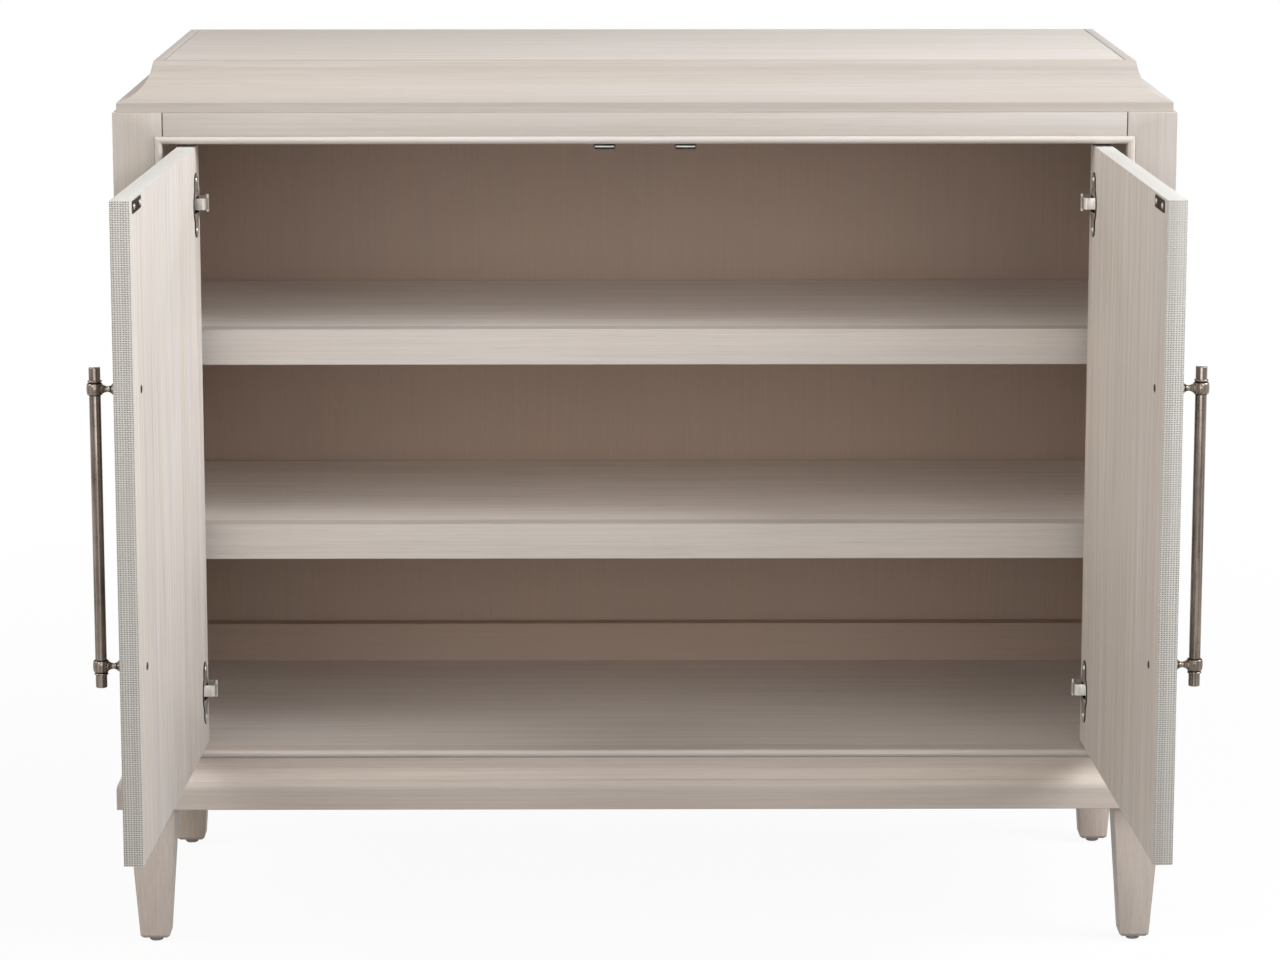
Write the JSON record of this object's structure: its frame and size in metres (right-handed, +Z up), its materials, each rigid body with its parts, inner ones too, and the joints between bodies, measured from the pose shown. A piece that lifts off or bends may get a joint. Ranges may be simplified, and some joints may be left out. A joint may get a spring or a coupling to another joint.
{
  "type": "hall chest",
  "caption": "Free-standing hall chest with hinged cloth-wrapped doors standing open, pinned shelves, coved top, moulded base and tapered legs, in pale washed wood with bar pulls.",
  "frame": {"origin": "on the floor, under the middle of the box round the chest with its doors open", "axes": "+X to the right as seen from the front, +Y to the back, +Z up"},
  "size_m": [1.118, 0.9126, 0.94],
  "materials": {
    "washed_wood": "pale greige wash over straight grain, satin",
    "woven_wrap": "plain-weave cloth glued to the door, matt",
    "core_board": "bare board, hidden",
    "hinge_nickel": "nickel plate",
    "aged_nickel": "aged nickel, brushed",
    "dark_bronze": "dark bronze, satin",
    "zinc": "zinc plate",
    "glide_plastic": "moulded"
  },
  "bodies": {
    "case": {"back_panel": "washed_wood", "back_rail": "washed_wood", "base_back": "washed_wood", "base_front": "washed_wood", "base_side_left": "washed_wood", "base_side_right": "washed_wood", "bead_bottom": "washed_wood", "bead_left": "washed_wood", "bead_right": "washed_wood", "bead_top": "washed_wood", "catch_block": "washed_wood", "catch_left": "dark_bronze", "catch_right": "dark_bronze", "corner_blocks": "washed_wood", "deck": "washed_wood", "glides": "glide_plastic", "hinge_arms_left": "hinge_nickel", "hinge_arms_right": "hinge_nickel", "hinge_plates_left": "hinge_nickel", "hinge_plates_right": "hinge_nickel", "leg_back_left": "washed_wood", "leg_back_right": "washed_wood", "leg_bolts": "zinc", "leg_front_left": "washed_wood", "leg_front_right": "washed_wood", "shelf_lower": "washed_wood", "shelf_lower_front": "washed_wood", "shelf_pins": "zinc", "shelf_upper": "washed_wood", "shelf_upper_front": "washed_wood", "side_panel_left": "washed_wood", "side_panel_right": "washed_wood", "stile_left": "washed_wood", "stile_right": "washed_wood", "sub_top": "washed_wood", "top_back_cleat": "washed_wood", "top_cove_front": "washed_wood", "top_cove_left": "washed_wood", "top_cove_right": "washed_wood", "top_panel": "washed_wood", "top_rail": "washed_wood"},
    "left_door": {"door_core_left": "core_board", "door_veneer_left": "washed_wood", "door_wrap_left": "woven_wrap", "hinge_cups_left": "hinge_nickel", "hinge_pins_left": "hinge_nickel", "pull_bar_left": "aged_nickel", "pull_posts_left": "aged_nickel", "pull_screws_left": "zinc", "strike_left": "dark_bronze"},
    "right_door": {"door_core_right": "core_board", "door_veneer_right": "washed_wood", "door_wrap_right": "woven_wrap", "hinge_cups_right": "hinge_nickel", "hinge_pins_right": "hinge_nickel", "pull_bar_right": "aged_nickel", "pull_posts_right": "aged_nickel", "pull_screws_right": "zinc", "strike_right": "dark_bronze"}
  },
  "joints": [
    {"name": "left_door_hinge", "type": "hinge", "parent": "case", "child": "left_door", "pos_m": [-0.4735, 0.01577, 0.536], "axis": [0, 0, 1], "range_deg": [-13, 92]},
    {"name": "right_door_hinge", "type": "hinge", "parent": "case", "child": "right_door", "pos_m": [0.4735, 0.01577, 0.536], "axis": [0, 0, -1], "range_deg": [-13, 92]}
  ]
}
